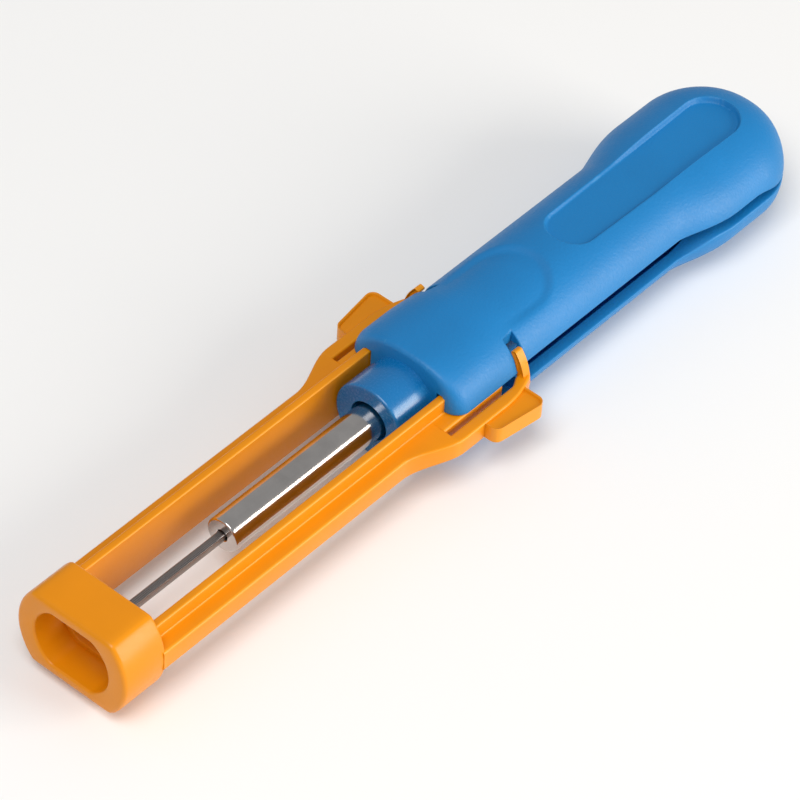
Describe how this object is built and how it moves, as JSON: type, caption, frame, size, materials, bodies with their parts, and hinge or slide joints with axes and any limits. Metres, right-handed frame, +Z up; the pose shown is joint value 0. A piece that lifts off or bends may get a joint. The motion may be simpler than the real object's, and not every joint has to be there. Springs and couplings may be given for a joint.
{
  "type": "contact extraction tool",
  "caption": "Hand tool that pushes contacts out of connectors: moulded handle, steel shank with a thin square pin, and a sliding guard with a collar, arms and springy latches.",
  "frame": {"origin": "under the middle of the tool's length, on the tool's own middle plane, at the height of its lowest point, with the guard fully extended", "axes": "+X along the tool towards the guard's collar, +Z up out of the handle's labelled face, +Y to the left"},
  "size_m": [0.1606, 0.0358, 0.0188],
  "materials": {
    "handle_plastic": "fine matt moulded texture",
    "holder_plastic": "smooth moulded",
    "guard_plastic": "satin moulded",
    "polished_steel": "ground and polished",
    "dark_steel": "oiled spring steel",
    "screw_steel": "zinc plated"
  },
  "bodies": {
    "handle": {"handle_upper_shell": "handle_plastic", "handle_lower_shell": "handle_plastic", "tip_holder": "holder_plastic", "shank": "polished_steel", "shank_dowel": "dark_steel", "extraction_pin": "dark_steel", "shell_screws": "screw_steel"},
    "guard": {"guard_collar": "guard_plastic", "guard_arm_left": "guard_plastic", "guard_arm_right": "guard_plastic"},
    "left_latch": {"latch_left": "guard_plastic"},
    "right_latch": {"latch_right": "guard_plastic"}
  },
  "joints": [
    {"name": "guard_slide", "type": "slide", "parent": "handle", "child": "guard", "axis": [1, 0, 0], "range_m": [-0.037, 0]},
    {"name": "left_latch_flex", "type": "hinge", "parent": "guard", "child": "left_latch", "pos_m": [0.0097, 0.01404, 0.0095], "axis": [0, 0, -1], "range_deg": [0, 6], "stiffness_Nm_per_rad": 0.5},
    {"name": "right_latch_flex", "type": "hinge", "parent": "guard", "child": "right_latch", "pos_m": [0.0097, -0.01404, 0.0095], "axis": [0, 0, 1], "range_deg": [0, 6], "stiffness_Nm_per_rad": 0.5}
  ]
}
